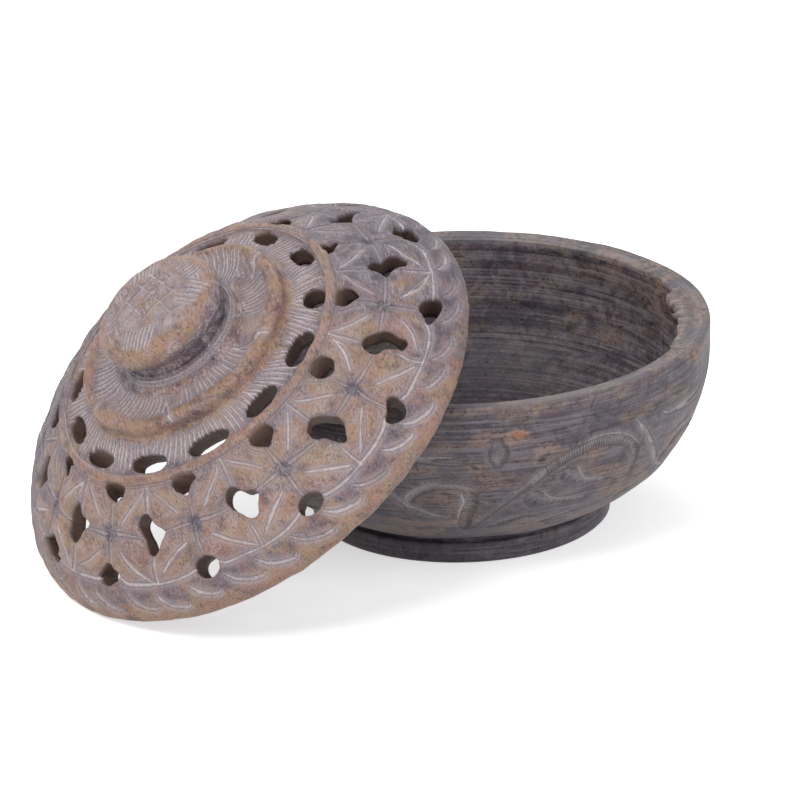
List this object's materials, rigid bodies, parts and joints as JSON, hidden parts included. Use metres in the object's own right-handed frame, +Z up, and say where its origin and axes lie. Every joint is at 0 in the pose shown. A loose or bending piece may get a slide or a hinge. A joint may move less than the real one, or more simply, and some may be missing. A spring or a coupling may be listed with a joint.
{
  "type": "incense holder",
  "caption": "Round carved soapstone incense bowl on a turned foot, with a pierced and knobbed lid that is lifted off and leans on the bowl's rim.",
  "frame": {"origin": "centre of the bowl's foot, on the surface it stands on", "axes": "+Z up along the bowl's axis, -X towards the lid that leans on the rim, +Y towards the back"},
  "size_m": [0.1411, 0.1016, 0.0676],
  "materials": {
    "soapstone_bowl": "turned and hand-carved soapstone, dark grey-brown with lighter bands, dull",
    "soapstone_lid": "hand-carved and pierced soapstone, warm tan to mauve-grey with pale dust in the cuts, dull"
  },
  "bodies": {
    "bowl": {"bowl": "soapstone_bowl"},
    "lid": {"lid": "soapstone_lid"}
  },
  "joints": [
    {"name": "lid_swing", "type": "hinge", "parent": "bowl", "child": "lid", "pos_m": [-0.00126, 0, -0.03209], "axis": [0, 1, 0], "range_deg": [0, 37.77]}
  ]
}
